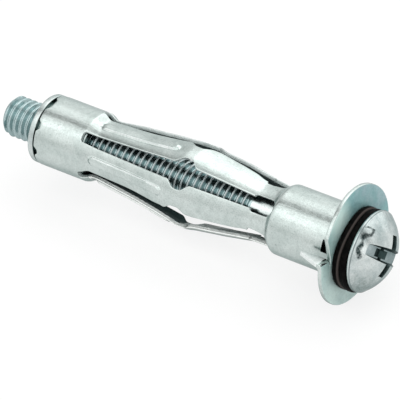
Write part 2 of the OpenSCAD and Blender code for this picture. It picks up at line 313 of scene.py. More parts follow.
def build_sleeve():
    """The folded sheet: legs, both collars, flange and prongs."""
    shell = Shell()
    # legs
    edge = slit_edge()
    for k in range(LEGS):
        rows = [[turned(x, rho, 72 * k + a) for a, rho in leg_loop(x, w, LEG_EDGE, k)]
                for x, w in edge]
        shell.add(rows, closed_cols=True)
    # head collar, outside: bend, relief, collar, shoulder
    outside = [(-FOLD_R + FOLD_R * math.cos(t), COLLAR_R + FOLD_R - FOLD_R * math.sin(t))
               for t in np.radians(np.linspace(0, 90, 6))]
    outside += [(x, COLLAR_R) for x in (-0.8, -RELIEF_LEN)]
    outside += [(float(x), leg_radius(float(x))) for x in np.linspace(-2.2, -9.4, 9)]
    outside += [(float(x), leg_radius(float(x))) for x in np.linspace(-9.7, SLIT_HEAD, 10)]
    bend_r = FOLD_R + SHEET
    inside = [(-FOLD_R + bend_r * math.cos(t), COLLAR_R + FOLD_R - bend_r * math.sin(t))
              for t in np.radians([0, 15, 30, 45, 60, BEND_ANGLE, 80, 90])]
    inside += [(x, COLLAR_R - SHEET) for x in (-0.8, -RELIEF_LEN)]
    inside += [(float(x), leg_radius(float(x)) - SHEET) for x in np.linspace(-2.2, SLIT_HEAD, 14)]

    def in_relief(angle_a, angle_b):
        for p in PRONG_ANGLES:
            if p - RELIEF_ANGLE - 0.1 < angle_a and angle_b < p + 0.1:
                return True
        return False

    cols = COLUMNS

    def col_pair(j):
        return cols[j], cols[j] + 2 if j + 1 == len(cols) else cols[j + 1]

    relief_cols = {j for j in range(len(cols)) if in_relief(*col_pair(j))}
    for rows_xr, first, last in ((outside, 0, 7), (inside, 5, 9)):
        rows = [[turned(x, r, a) for a in cols] for x, r in rows_xr]
        shell.add(rows, closed_cols=True,
                  skip=lambda i, j: j in relief_cols and first <= i < last)
    # walls of the relief
    for p in PRONG_ANGLES:
        span = [c for c in range(p - RELIEF_ANGLE, p + 1, 1) if (c % 360) in cols]
        shell.add([[turned(-RELIEF_LEN, COLLAR_R, c) for c in span],
                   [turned(-RELIEF_LEN, COLLAR_R - SHEET, c) for c in span]])
        shell.add([[turned(0, COLLAR_R + FOLD_R, c) for c in span],
                   [turned(0, COLLAR_R + FOLD_R - BEND_DROP, c) for c in span]])
        for c in (p - RELIEF_ANGLE, p):
            out_pts = [turned(x, r, c) for x, r in outside[:8]]
            in_pts = [turned(x, r, c) for x, r in inside[5:10]]
            base = len(shell.verts)
            shell.verts.extend(out_pts + in_pts[::-1])
            shell.faces.append(tuple(range(base, base + len(out_pts) + len(in_pts))))
    # tail collar: outside, crimped edge, inside
    fixed = [float(x) for x in np.linspace(SLIT_TAIL, -43.0, 6)] + [-44.5, -46.0, -47.4, -48.2]
    rows = [[turned(x, leg_radius(x), a) for a in cols] for x in fixed]
    e = TAIL_EDGE
    crimp_from = fixed[-1]
    for f in (0.33, 0.66, 1.0):
        rows.append([turned(crimp_from + f * (SLEEVE_END + nick(a) + e - crimp_from), COLLAR_R, a)
                     for a in cols])
    for i in range(1, 4):
        t = math.radians(30 * i)
        rows.append([turned(SLEEVE_END + nick(a) + e * (1 - math.sin(t)),
                            COLLAR_R - e * (1 - math.cos(t)), a) for a in cols])
    rows.append([turned(SLEEVE_END + nick(a), COLLAR_R - SHEET, a) for a in cols])
    for x in list(reversed(fixed))[:-1] + [SLIT_TAIL]:
        rows.append([turned(x, leg_radius(x) - SHEET, a) for a in cols])
    shell.add(rows, closed_cols=True)
    build_flange(shell)
    build_prongs(shell)
    shell.verts = [dished(v) for v in shell.verts]
    return make_piece("anchor_sleeve", shell.verts, shell.faces, weld=0.004, sharp=55)


def flange_outline():
    """Rim of the flange with its two notches, going round from +Z towards -Y.

    Each point is (y, z, 1), or (y, z, 0) on a fold line, where the rim isn't rounded."""
    pts = []
    bend = PRONG_FOLD + SHEET
    cut_from = math.degrees(math.asin(bend / RIM_R))
    for p in PRONG_ANGLES:
        a0, a1 = p + cut_from, p + 180 - NOTCH_ANGLE
        for a in np.linspace(a0, a1, 76):
            pts.append((-RIM_R * math.sin(math.radians(a)), RIM_R * math.cos(math.radians(a)), 1))
        q = p + 180
        local = [(0.0, PRONG_ROOT, 1), (-bend, PRONG_ROOT, 0), (-bend, 7.0, 0), (-bend, 7.7, 0)]
        notch = math.radians(NOTCH_ANGLE)
        start = (RIM_R * math.sin(notch), RIM_R * math.cos(notch))
        for f in np.linspace(0.06, 0.94, 12):
            side = (start[0] * (1 - f), start[1] + (PRONG_ROOT - start[1]) * f, 1)
            local.insert(len(local) - 4, side)
        c, s = math.cos(math.radians(q)), math.sin(math.radians(q))
        for y, z, r in local:
            pts.append((y * c - z * s, y * s + z * c, r))
    return pts


def build_flange(shell):
    """Front and back faces of the flange and its rounded rim."""
    outline = flange_outline()
    n = len(outline)
    e = RIM_EDGE

    def inset(k, amount):
        a, b, c = outline[k - 1], outline[k], outline[(k + 1) % n]
        t = Vector((c[0] - a[0], c[1] - a[1])).normalized()
        normal = Vector((-t.y, t.x))
        if normal.dot(Vector((b[0], b[1]))) > 0:
            normal = -normal
        return (b[0] + normal.x * amount * b[2], b[1] + normal.y * amount * b[2])

    rim = []
    for i in range(4):
        t = math.radians(30 * i)
        rim.append((SHEET - e + e * math.cos(t), e * (1 - math.sin(t))))
    for i in range(4):
        t = math.radians(90 - 30 * i)
        rim.append((e - e * math.cos(t), e * (1 - math.sin(t))))
    rows = [[(x,) + inset(k, off) for k in range(n)] for x, off in rim]
    shell.add(rows, closed_cols=True)
    ring_r = COLLAR_R + FOLD_R
    for x, row in ((SHEET, rows[0]), (0.0, rows[-1])):
        bm = bmesh.new()
        outer = [bm.verts.new(v) for v in row]
        inner = [bm.verts.new(turned(x, ring_r, a)) for a in COLUMNS]
        edges = []
        for loop in (outer, inner):
            for i, v in enumerate(loop):
                edges.append(bm.edges.new((v, loop[(i + 1) % len(loop)])))
        bmesh.ops.triangle_fill(bm, use_beauty=True, use_dissolve=False, edges=edges)
        bm.verts.index_update()
        base = len(shell.verts)
        shell.verts.extend([tuple(v.co) for v in bm.verts])
        shell.faces.extend([tuple(base + v.index for v in f.verts) for f in bm.faces])
        bm.free()


def build_prongs(shell):
    """Each prong: a quarter bend along its fold line, then a pointed flat towards the tail."""
    outer_r = PRONG_FOLD + SHEET
    lift = 0.003
    path = [(SHEET + lift, -outer_r - 0.1, -lift, -outer_r - 0.1)]
    for t in np.radians(np.linspace(0, 90, 10)):
        c, s = math.cos(t), math.sin(t)
        path.append((-PRONG_FOLD + (outer_r + lift) * c, -outer_r + (outer_r + lift) * s,
                     -PRONG_FOLD + (PRONG_FOLD - lift) * c, -outer_r + (PRONG_FOLD - lift) * s))
    for x in np.linspace(-0.7, -PRONG_LEN, 8):
        path.append((float(x), lift, float(x), -SHEET - lift))
    e = PRONG_EDGE
    for p in PRONG_ANGLES:
        c, s = math.cos(math.radians(p)), math.sin(math.radians(p))
        rows = []
        for xo, yo, xi, yi in path:
            f = min(max((-xo - PRONG_FOLD) / (PRONG_LEN - PRONG_FOLD), 0.0), 1.0)
            z0 = PRONG_ROOT + (PRONG_TIP - PRONG_TIP_HALF - PRONG_ROOT) * f
            rim = math.sqrt(RIM_R ** 2 - min(yo, 0.0) ** 2)
            z1 = rim + (PRONG_TIP + PRONG_TIP_HALF - rim) * f
            loop = []
            corners = ((xo, yo, z0, 1, 1), (xo, yo, z1, 1, -1),
                       (xi, yi, z1, -1, -1), (xi, yi, z0, -1, 1))
            across = Vector((xo - xi, yo - yi)).normalized()
            for cx, cy, cz, side, up in corners:
                pts = []
                for t in np.radians([0, 30, 60, 90]):
                    d = e * (1 - math.cos(t))
                    h = e * (1 - math.sin(t))
                    pts.append((cx - side * across.x * h, cy - side * across.y * h, cz + up * d))
                if side * up < 0:
                    pts.reverse()
                loop.extend(pts)
            rows.append([(x, y * c - z * s, y * s + z * c) for x, y, z in loop])
        shell.add(rows, closed_cols=True)
        base = len(shell.verts)
        shell.verts.extend(rows[-1])
        shell.faces.append(tuple(range(base, base + len(rows[-1]))))


# ---------------------------------------------------------------- turned pieces
def turned_rows(profile, count=120):
    """A profile of (x, r) points turned round X."""
    return [[turned(x, r, 360 * j / count) for j in range(count)] for x, r in profile]


def rounded(corners, radius, steps=4):
    """Profile of (x, r) corners with each inner corner rounded."""
    out = []
    for k, (x, r) in enumerate(corners):
        if k in (0, len(corners) - 1) or not radius[k]:
            out.append((x, r))
            continue
        here = Vector((x, r))
        to_a = (Vector(corners[k - 1]) - here).normalized()
        to_b = (Vector(corners[k + 1]) - here).normalized()
        for i in range(steps + 1):
            t = i / steps
            q = here + to_a * radius[k] * (1 - t) ** 2 + to_b * radius[k] * t ** 2
            out.append((q.x, q.y))
    return out


def helix(x_head, x_tail, radius, depth, pitch, fade_head, fade_tail, count=48, steps=10):
    """Points and faces of a helical thread, sheared so that its crest follows the grid.

    It winds left-handed: x falls as the angle rises. A real M6 screw is right-handed."""
    # Share of the groove's full depth at each step through one pitch, from a crest
    shape = [0.0, 0.02, 0.28, 0.58, 0.88, 1.0, 1.0, 0.88, 0.58, 0.28]
    rows = int((x_head - x_tail) / pitch * steps) + 2 * steps
    verts, faces = [], []
    for i in range(rows):
        for j in range(count):
            x = x_head + pitch - pitch * i / steps - pitch * j / count
            fade = float(smooth((x_head - x) / fade_head)) if fade_head else 1.0
            r = radius - depth * (shape[i % steps] * fade + (1 - fade) * 0.4)
            if fade_tail:
                r = min(r, radius - depth + max(x - x_tail, 0.0) / fade_tail * depth)
            verts.append(turned(min(max(x, x_tail), x_head), r, 360 * j / count))
    for i in range(rows - 1):
        for j in range(count):
            a = i * count + j
            d = a + count
            if j + 1 < count:
                faces.append((a, a + 1, d + 1, d))
            elif i + 1 + steps < rows:
                faces.append((a, (i + steps) * count, (i + 1 + steps) * count, d))
    return verts, faces


def build_nut():
    """The flanged nut, with its bore ribbed where the thread would be."""
    shell = Shell()
    corners = [(NUT_HEAD, THREAD_R + 0.25), (NUT_HEAD, 4.45), (SLEEVE_END - 0.2, 4.45),
               (SLEEVE_END - 0.2, NUT_FLANGE_R), (NUT_TAIL, NUT_FLANGE_R), (NUT_TAIL, THREAD_R + 0.35)]
    profile = rounded(corners, [0, 0.25, 0, 0.16, 0.3, 0])
    shell.add(turned_rows(profile), closed_cols=True)
    tail_sink = [(NUT_TAIL, THREAD_R + 0.35), (NUT_TAIL + NUT_SINK, THREAD_R + BORE_PLAY)]
    head_sink = [(NUT_HEAD, THREAD_R + 0.25), (NUT_HEAD - 0.3, THREAD_R + BORE_PLAY)]
    ribs = [(x, THREAD_R + (BORE_PLAY if i % 2 == 0 else 0.08))
            for i, x in enumerate(np.arange(NUT_TAIL + NUT_SINK, NUT_HEAD - 0.29, 0.25))]
    shell.add(turned_rows(tail_sink), closed_cols=True)
    shell.add(turned_rows(head_sink), closed_cols=True)
    shell.add(turned_rows(ribs, 60), closed_cols=True)
    return make_piece("anchor_nut", shell.verts, shell.faces, sharp=40)


def sagged(v):
    """The soft rings hang a little off centre on the shank and aren't quite round."""
    x, y, z = v
    angle = math.degrees(math.atan2(-y, z))
    grow = 1.0
    if math.hypot(y, z) > 4:
        grow += (0.02 * float(smooth(1 - abs(angle - 88) / 45))
                 - 0.06 * float(smooth(1 - abs(angle - 22) / 45)))
    return (x, y * grow - 0.12, z * grow - 0.14)


def build_washer(name, x):
    """One soft ring with a rounded rim, its tail face at x."""
    shell = Shell()
    inner, outer = SHANK_R + 0.22, WASHER_R - 0.14
    r = 0.42
    profile = [(x, inner + 0.1), (x, outer - r)]
    profile += [(x + r - r * math.cos(t), outer - r + r * math.sin(t))
                for t in np.radians(np.linspace(9, 90, 9))]
    profile += [(x + WASHER_T - r + r * math.sin(t), outer - r + r * math.cos(t))
                for t in np.radians(np.linspace(0, 90, 10))]
    profile += [(x + WASHER_T, inner + 0.1), (x + WASHER_T - 0.1, inner), (x + 0.1, inner)]
    rows = [[sagged(turned(px, pr, 3 * j)) for j in range(120)] for px, pr in profile]
    shell.add(rows, closed_rows=True, closed_cols=True)
    return make_piece(name, shell.verts, shell.faces, sharp=50)


def prism(name, outline, low, high, scale_low=(1.0, 1.0)):
    """Closed cutter: an outline of (y, z) points from x = low to x = high, tapered towards low."""
    n = len(outline)
    verts = [(low, y * scale_low[0], z * scale_low[1]) for y, z in outline]
    verts += [(high, y, z) for y, z in outline]
    faces = [tuple(reversed(range(n))), tuple(range(n, 2 * n))]
    faces += [(i, (i + 1) % n, n + (i + 1) % n, n + i) for i in range(n)]
    return make_piece(name, verts, faces)


# The driver's slot and the two wings of its cross, before the head is turned: low and high
# corner as (y, z), depth below the dome's top, and how much the floor shrinks along Y and Z
CUTS = {
    "cut_slot": ((-1.12, -8), (1.52, 8), 1.75, (0.58, 1.0)),
    "cut_wing_a": ((-3.75, -0.8), (4.3, 0.8), 2.7, (0.42, 0.62)),
    "cut_wing_b": ((-0.6, -3.3), (1.0, 3.3), 2.7, (0.62, 0.42)),
}


def cutter(name):
    """A tapered box that cuts part of the driver's recess."""
    (y0, z0), (y1, z1), depth, taper = CUTS[name]
    return prism(name, [(y0, z0), (y1, z0), (y1, z1), (y0, z1)], APEX - depth, APEX + 1, taper)


def build_head():
    """The pan head, with its recess cut and its edges rounded."""
    dome = [(APEX - DOME_R + DOME_R * math.cos(t), DOME_R * math.sin(t))
            for t in np.linspace(0.0, math.asin(HEAD_R / DOME_R), 26)][:-1]
    rim_x = HEAD_X + HEAD_RIM
    profile = dome[1:] + [(rim_x + 0.12, HEAD_R - 0.05), (rim_x - 0.05, HEAD_R),
                          (HEAD_X + 0.16, HEAD_R), (HEAD_X + 0.05, HEAD_R - 0.05),
                          (HEAD_X, HEAD_R - 0.17), (HEAD_X, SHANK_R + 0.02)]
    count = 144
    shell = Shell()
    shell.add(turned_rows(profile, count), closed_cols=True)
    top = len(shell.verts)
    shell.verts.append((APEX, 0, 0))
    shell.faces.extend([(j, (j + 1) % count, top) for j in range(count)])
    base = (len(profile) - 1) * count
    shell.faces.append(tuple(base + j for j in range(count)))
    head = make_piece("screw_head_body", shell.verts, shell.faces)
    cutters = [cutter(name) for name in CUTS]
    for tool in cutters:
        mod = head.modifiers.new("cut", "BOOLEAN")
        mod.operation = "DIFFERENCE"
        mod.solver = "EXACT"
        mod.object = tool
    dg = bpy.context.evaluated_depsgraph_get()
    cut = bpy.data.meshes.new_from_object(head.evaluated_get(dg))
    for obj in cutters + [head]:
        bpy.data.objects.remove(obj)
    bm = bmesh.new()
    bm.from_mesh(cut)
    bmesh.ops.remove_doubles(bm, verts=bm.verts, dist=0.002 * MM)
    sharp = [ed for ed in bm.edges
             if len(ed.link_faces) == 2 and ed.calc_face_angle() > math.radians(32)
             and max(v.co.x for v in ed.verts) > (HEAD_X + 0.6) * MM]
    bmesh.ops.bevel(bm, geom=sharp, offset=0.09 * MM, offset_type="OFFSET", segments=3,
                    profile=0.5, affect="EDGES", clamp_overlap=True)
    turn = Matrix.Rotation(math.radians(SLOT_ANGLE), 4, "X")
    bm.transform(turn)
    bm.to_mesh(cut)
    bm.free()
    cut.polygons.foreach_set("use_smooth", [True] * len(cut.polygons))
    cut.set_sharp_from_angle(angle=math.radians(38))
    head = bpy.data.objects.new("screw_head", cut)
    bpy.context.scene.collection.objects.link(head)
    return head


def build_rod():
    """The smooth shank under the head, the thread and the tip's flat end."""
    shell = Shell()
    shank = [(HEAD_X, SHANK_R + 0.25), (HEAD_X - 0.1, SHANK_R + 0.06), (HEAD_X - 0.3, SHANK_R),
             (THREAD_HEAD + 0.02, SHANK_R)]
    shell.add(turned_rows(shank, 72), closed_cols=True)
    verts, faces = helix(THREAD_HEAD, TIP_X, THREAD_R, THREAD_DEPTH, THREAD_PITCH, 0.9,
                         THREAD_DEPTH)
    base = len(shell.verts)
    shell.verts.extend(verts)
    shell.faces.extend([tuple(base + i for i in f) for f in faces])
    tip = [turned(TIP_X, THREAD_R - THREAD_DEPTH, 7.5 * j) for j in range(48)]
    base = len(shell.verts)
    shell.verts.extend(tip)
    shell.faces.append(tuple(range(base, base + 48)))
    return make_piece("screw_rod", shell.verts, shell.faces, sharp=75)


# ---------------------------------------------------------------- shader nodes
WHITE = (1, 1, 1)


def link(tree, a, b):
    """Joins an output to an input."""
    tree.links.new(a, b)


def node(tree, kind, inputs=None, **settings):
    """A new node: its settings, then each input linked to a socket or given its value."""
    new = tree.nodes.new("ShaderNode" + kind)
    for name, value in settings.items():
        setattr(new, name, value)
    for key, value in (inputs or {}).items():
        socket = new.inputs[key]
        if isinstance(value, bpy.types.NodeSocket):
            link(tree, value, socket)
        elif socket.type == "RGBA":
            socket.default_value = (*value, 1)
        else:
            socket.default_value = value
    return new


def noise(tree, at, size, detail, rough=0.5):
    """Noise of a given size at a vector."""
    return node(tree, "TexNoise",
                {"Vector": at, "Scale": size, "Detail": detail, "Roughness": rough})


def set_stops(new, stops):
    """Gives a colour ramp its stops of (position, colour)."""
    el = new.color_ramp.elements
    while len(el) < len(stops):
        el.new(0.5)
    for e, (pos, col) in zip(el, stops):
        e.position = pos
        e.color = (*col, 1)


def ramp(tree, fac, stops):
    """The colour that a ramp gives to a factor."""
    new = node(tree, "ValToRGB", {"Fac": fac})
    set_stops(new, stops)
    return new.outputs["Color"]


def mix(tree, fac, a, b, mode="MIX"):
    """Two colours mixed by a factor."""
    new = node(tree, "Mix", {"Factor": fac, "A": a, "B": b}, data_type="RGBA", blend_type=mode)
    return new.outputs["Result"]


def map_range(tree, value, low, high, to_low=0.0, to_high=1.0):
    """A value between two numbers, moved to between two others and held there."""
    return node(tree, "MapRange", {"Value": value, "From Min": low, "From Max": high,
                                   "To Min": to_low, "To Max": to_high}).outputs["Result"]


def number(tree, operation, *values):
    """The result of an operation on numbers."""
    return node(tree, "Math", dict(enumerate(values)), operation=operation).outputs["Value"]


def vector(tree, operation, *values, result="Vector"):
    """The result of an operation on vectors."""
    new = node(tree, "VectorMath", dict(enumerate(values)), operation=operation)
    return new.outputs[result]


def spot(tree, at, point, near, far, peak=1.0):
    """A factor that falls from its peak at a point to nothing at some distance."""
    gap = vector(tree, "DISTANCE", at, point, result="Value")
    return map_range(tree, gap, near, far, peak, 0.0)


def bumps(tree, bsdf, height, strength, distance):
    """Bumps on a surface."""
    new = node(tree, "Bump", {"Height": height, "Strength": strength, "Distance": distance})
    link(tree, new.outputs["Normal"], bsdf.inputs["Normal"])


def new_material(name):
    """A material, its node tree and its surface shader."""
    mat = bpy.data.materials.new(name)
    mat.use_nodes = True
    return mat, mat.node_tree, mat.node_tree.nodes["Principled BSDF"]


# ---------------------------------------------------------------- materials
# Clouds, specks and grain in the plating: the noise's size, detail and roughness, then the
# place and colour of its dark parts, and the place where it is clear
MOTTLE = [(1.6, 4, 0.55, 0.3, (0.9, 0.9, 0.9), 0.6),
          (3.4, 2, 0.7, 0.26, (0.55, 0.58, 0.58), 0.33),
          (5.5, 2, 0.6, 0.34, (0.86, 0.87, 0.87), 0.52)]
# Painted shade: the colour a place takes by how open it is, darkest in crevices and near the floor
PAINTED_CAVITY_SHADE = [(0.1, (0.2, 0.27, 0.275)), (0.42, (0.55, 0.60, 0.59)), (0.8, WHITE)]
PAINTED_CAVITY_SHADE_REACH = 12
ZINC_GLINT = (0.62, 0.66, 0.66)


def zinc(name, base, shade, roughness, streak, bump, metal=1.0, extra=None, shade_in_hollows=1.0,
         outline=None):
    """Bright zinc plating: mottled tone, uneven gloss, faint rolling lines and small dents, with
    painted shade in hollows and near the floor and, given an outline, at grazing angles.
    """
    mat, nt, bsdf = new_material(name)
    bsdf.inputs["Metallic"].default_value = metal
    bsdf.inputs["Specular Tint"].default_value = (*ZINC_GLINT, 1)
    coord = node(nt, "TexCoord")
    at = node(nt, "Mapping", {"Vector": coord.outputs["Object"], "Scale": (1000, 1000, 1000)})
    at = at.outputs["Vector"]

    def amount(size, detail, rough=0.55):
        return noise(nt, at, size, detail, rough).outputs["Fac"]

    colour = ramp(nt, amount(0.35, 3), [(0.35, shade), (0.62, base)])
    for size, detail, rough, dark_at, dark, clear_at in MOTTLE:
        layer = ramp(nt, amount(size, detail, rough), [(dark_at, dark), (clear_at, WHITE)])
        colour = mix(nt, 1.0, colour, layer, "MULTIPLY")
    if extra:
        colour = extra(nt, at, colour)
    # painted shade: ambient occlusion darkens the colour in hollows, slits and near the floor
    cavity = node(nt, "AmbientOcclusion", {"Distance": PAINTED_CAVITY_SHADE_REACH * MM}, samples=8)
    colour = mix(nt, shade_in_hollows, colour, ramp(nt, cavity.outputs["AO"], PAINTED_CAVITY_SHADE), "MULTIPLY")
    # painted shade: the colour darkens where the surface turns away, at grazing angles
    if outline:
        turning = node(nt, "LayerWeight", {"Blend": 0.5})
        dark = ramp(nt, turning.outputs["Facing"], [(0.62, WHITE), (0.82, outline)])
        colour = mix(nt, 1.0, colour, dark, "MULTIPLY")
    link(nt, colour, bsdf.inputs["Base Color"])
    gloss = map_range(nt, amount(0.9, 4), 0.3, 0.7, roughness - 0.06, roughness + 0.1)
    link(nt, gloss, bsdf.inputs["Roughness"])

    streaked = node(nt, "Mapping", {"Vector": at, "Scale": streak}).outputs["Vector"]
    lines = noise(nt, streaked, 3.0, 3, 0.6).outputs["Fac"]
    bumps(nt, bsdf, number(nt, "ADD", amount(2.6, 5, 0.65), lines), bump, 0.00004)
    return mat


# The film on the flange: the direction towards which it turns darker, and its colours from
# light to dark. A painted highlight, a pale spot beside the washers: its place, in mm, and its colour
FILM_DARK_SIDE = (0.0, 0.73, 0.68)
FILM = [(0.08, (0.84, 0.98, 0.96)), (0.42, (0.56, 0.76, 0.75)), (0.85, (0.36, 0.62, 0.65)),
        (1.0, (0.5, 0.66, 0.72))]
PALE_HIGHLIGHT_AT = (0.6, -3.3, 7.1)
PALE_HIGHLIGHT = (0.66, 0.84, 0.79)


def flange_film(nt, at, colour):
    """The flange's front keeps a blue-green passivation film, darker towards one side, with a painted
    highlight beside the washers.
    """
    across = vector(nt, "DOT_PRODUCT", at, FILM_DARK_SIDE, result="Value")
    place = map_range(nt, across, -8, 8, -0.25, 0.75)
    blots = noise(nt, at, 0.5, 4).outputs["Fac"]
    uneven = number(nt, "MULTIPLY_ADD", blots, 0.5, place)
    colour = mix(nt, 1.0, colour, ramp(nt, uneven, FILM), "MULTIPLY")
    # painted highlight: the pale spot beside the washers
    return mix(nt, spot(nt, at, PALE_HIGHLIGHT_AT, 0.9, 3.4, 0.8), colour, PALE_HIGHLIGHT)


# A darker patch on the head's lower side, painted shade broken up by wear: its place, in mm, and its
# colour. The colour of a scrape
WORN_SHADE_AT = (4.0, -4.9, -1.9)
WORN_SHADE = (0.24, 0.29, 0.28)
SCRAPED = (0.02, 0.035, 0.035)


def dents(nt, at, colour):
    """A darker patch of painted shade broken up by wear, and dark scrapes where the head has been
    knocked.
    """
    waver = noise(nt, at, 1.7, 4).outputs["Color"]
    strayed = vector(nt, "MULTIPLY_ADD", waver, (0.6, 0.6, 0.6), at)
    centred = vector(nt, "SUBTRACT", strayed, (0.3, 0.3, 0.3))
    worn = noise(nt, at, 2.4, 5, 0.7).outputs["Fac"]
    # painted shade on the head's lower side, broken up by the worn noise
    dull = number(nt, "MULTIPLY", spot(nt, at, WORN_SHADE_AT, 0.8, 3.4, 0.8),
                  map_range(nt, worn, 0.38, 0.6, 0.3))
    colour = mix(nt, dull, colour, WORN_SHADE)
    flecks = noise(nt, at, 4.0, 3).outputs["Fac"]
    broken = map_range(nt, flecks, 0.4, 0.56, 0.6)
    for start, end, half in DENTS:
        along = Vector(end) - Vector(start)
        rel = vector(nt, "SUBTRACT", centred, Vector(start))
        part = vector(nt, "DOT_PRODUCT", rel, along / along.length_squared, result="Value")
        clamp = node(nt, "Clamp", {"Value": part}).outputs["Result"]
        on = node(nt, "VectorMath", {"Vector": along, "Scale": clamp}, operation="SCALE")
        gap = vector(nt, "DISTANCE", rel, on.outputs["Vector"], result="Value")
        mark = map_range(nt, gap, half * 0.4, half * 1.4, 1.0, 0.0)
        colour = mix(nt, number(nt, "MULTIPLY", mark, broken), colour, SCRAPED)
    return colour


# Painted highlight along the line where the two rings meet: how pale it is across half a millimetre
# either way
MEET_HIGHLIGHT = [(0.16, 0.0), (0.28, 1.0), (0.42, 0.8), (0.5, 0.0)]


def black_rubber(name):
    """Matt black, with a painted highlight line where the two rings meet."""
    mat, nt, bsdf = new_material(name)
    bsdf.inputs["Specular IOR Level"].default_value = 0.02
    coord = node(nt, "TexCoord")
    fine = noise(nt, coord.outputs["Object"], 1800, 4).outputs["Fac"]
    black = ramp(nt, fine, [(0.35, (0.0015, 0.0016, 0.0016)), (0.7, (0.006, 0.0055, 0.005))])
    split = node(nt, "SeparateXYZ", {"Vector": coord.outputs["Object"]})
    meet = SHEET + WASHER_T
    place = map_range(nt, split.outputs["X"], (meet - 0.5) * MM, (meet + 0.5) * MM)
    line = ramp(nt, place, [(pos, (v, v, v)) for pos, v in MEET_HIGHLIGHT])
    # the painted highlight's colour where the rings meet
    colour = mix(nt, line, black, (0.062, 0.052, 0.048))
    link(nt, colour, bsdf.inputs["Base Color"])
    link(nt, map_range(nt, fine, 0.0, 1.0, 0.4, 0.6), bsdf.inputs["Roughness"])
    bumps(nt, bsdf, fine, 0.25, 0.00005)
    return mat


# Dark scrapes on the head: two ends and a half width, in mm
DENTS = [((3.13, -1.82, 5.70), (3.61, -1.10, 5.53), 0.11),
         ((3.61, -1.10, 5.53), (4.28, -0.80, 4.97), 0.13),
         ((4.28, -0.80, 4.97), (4.38, -1.54, 4.69), 0.22),
         ((4.38, -1.54, 4.69), (3.86, -2.31, 4.92), 0.3),
         ((3.86, -2.31, 4.92), (3.72, -2.50, 4.95), 0.42),
         ((3.80, -2.57, 4.85), (3.91, -3.36, 4.21), 0.22),
         ((3.91, -3.36, 4.21), (3.81, -4.05, 3.68), 0.34),
         ((3.81, -4.05, 3.68), (4.12, -4.33, 2.88), 0.36)]

# ---------------------------------------------------------------- the pieces
# How the fine lines are stretched on rolled sheet, on turned bar, and where there are none
ROLLED = (0.12, 1, 1)
TURNED = (1, 0.3, 0.3)
PLAIN = (1, 1, 1)
# Each zinc: name, bright and dull colour, roughness, stretch and strength of its fine relief
sheet_zinc = zinc("zinc_sheet", (0.62, 0.685, 0.665), (0.54, 0.61, 0.59), 0.17, ROLLED, 0.35)
flange_zinc = zinc("zinc_flange", (0.64, 0.69, 0.67), (0.55, 0.61, 0.60), 0.44, PLAIN, 0.4,
                   0.35, extra=flange_film, shade_in_hollows=0.1)
# Sheared edges and prong flats: a rougher zinc, the roughness real, the lighter colour a painted
# highlight
edge_highlight_zinc = zinc("zinc_sheared_highlight", (0.86, 0.90, 0.89), (0.74, 0.79, 0.78), 0.46, PLAIN, 0.8, 0.55)
bar_zinc = zinc("zinc_screw", (0.68, 0.73, 0.72), (0.42, 0.49, 0.49), 0.18, TURNED, 0.4,
                extra=dents)
# Painted shade: the thread is a darker, bluer copy of the screw's zinc, for the shade inside the
# sleeve
thread_shade_zinc = zinc("zinc_thread_shade", (0.52, 0.64, 0.65), (0.38, 0.50, 0.51), 0.24, TURNED, 0.35,
                shade_in_hollows=0.42)
nut_zinc = zinc("zinc_nut", (0.62, 0.67, 0.66), (0.52, 0.59, 0.58), 0.2, TURNED, 0.35)
# Painted shade: the sleeve's inner skin is the same zinc as outside, coloured near black for the shade
# inside it
inside_shade_zinc = zinc("zinc_inside_shade", (0.14, 0.19, 0.19), (0.09, 0.13, 0.13), 0.42, ROLLED, 0.5)
# Painted shade: the driver recess is a darker copy of the screw's zinc, and its walls and deep floor
# near black
recess_shade_zinc = zinc("zinc_recess", (0.46, 0.53, 0.54), (0.3, 0.37, 0.38), 0.3, PLAIN, 0.7)
recess_wall_shade_zinc = zinc("zinc_recess_wall_shade", (0.10, 0.14, 0.14), (0.06, 0.09, 0.09), 0.35, PLAIN, 0.7)
# Painted shade: a dark copy of the screw's zinc for the crease where the head's rim meets its dome
rim_crease_shade_zinc = zinc("zinc_rim_shade", (0.3, 0.35, 0.35), (0.18, 0.22, 0.22), 0.3, PLAIN, 0.5)
# Painted reflection: a near-white copy of the sheet's zinc for the far leg, with painted shade along
# its grazing edge
far_leg_reflection_zinc = zinc("zinc_far_leg_reflection", (0.95, 0.97, 0.95), (0.86, 0.89, 0.87), 0.3, ROLLED, 0.35, 0.7,
                 shade_in_hollows=0.2, outline=(0.3, 0.34, 0.33))
# Painted highlight: a lighter, rougher copy of the thread's zinc on its crests
crest_highlight_zinc = zinc("zinc_crest_highlight", (0.80, 0.88, 0.89), (0.70, 0.78, 0.79), 0.42, TURNED, 0.3, 0.5,
                  shade_in_hollows=0.3)
# Painted highlight: a lighter copy of the screw's zinc on the smooth shank, with less painted shade
shank_highlight_zinc = zinc("zinc_shank_highlight", (0.80, 0.85, 0.84), (0.70, 0.75, 0.74), 0.2, TURNED, 0.3,
                  shade_in_hollows=0.35)
rubber = black_rubber("black_washer")


def dress(obj, material, body, slot, *nodes):
    """Gives a piece its material, the body it rides on and the nodes it replaces; the slot is not
    used.
    """
    if not obj.data.materials:
        obj.data.materials.append(material)
    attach(obj, body)
    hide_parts(*nodes)


def paint(obj, first, *rules):
    """Several materials on one piece: the first, then one for the faces each rule picks."""
    obj.data.materials.append(first)
    for i, (material, chosen) in enumerate(rules):
        obj.data.materials.append(material)
        for poly in obj.data.polygons:
            if chosen(poly.center / MM, poly.normal):
                poly.material_index = i + 1


def outwards(c, normal):
    """How far a face looks away from the axis: 1 straight out, -1 straight in."""
    return normal.dot(Vector((0, c.y, c.z)).normalized())


def on_inside(c, normal):
    """The sleeve's inner skin, away from its two ends, painted near black as shade."""
    return outwards(c, normal) < -0.4 and -48.9 < c.x < -0.6


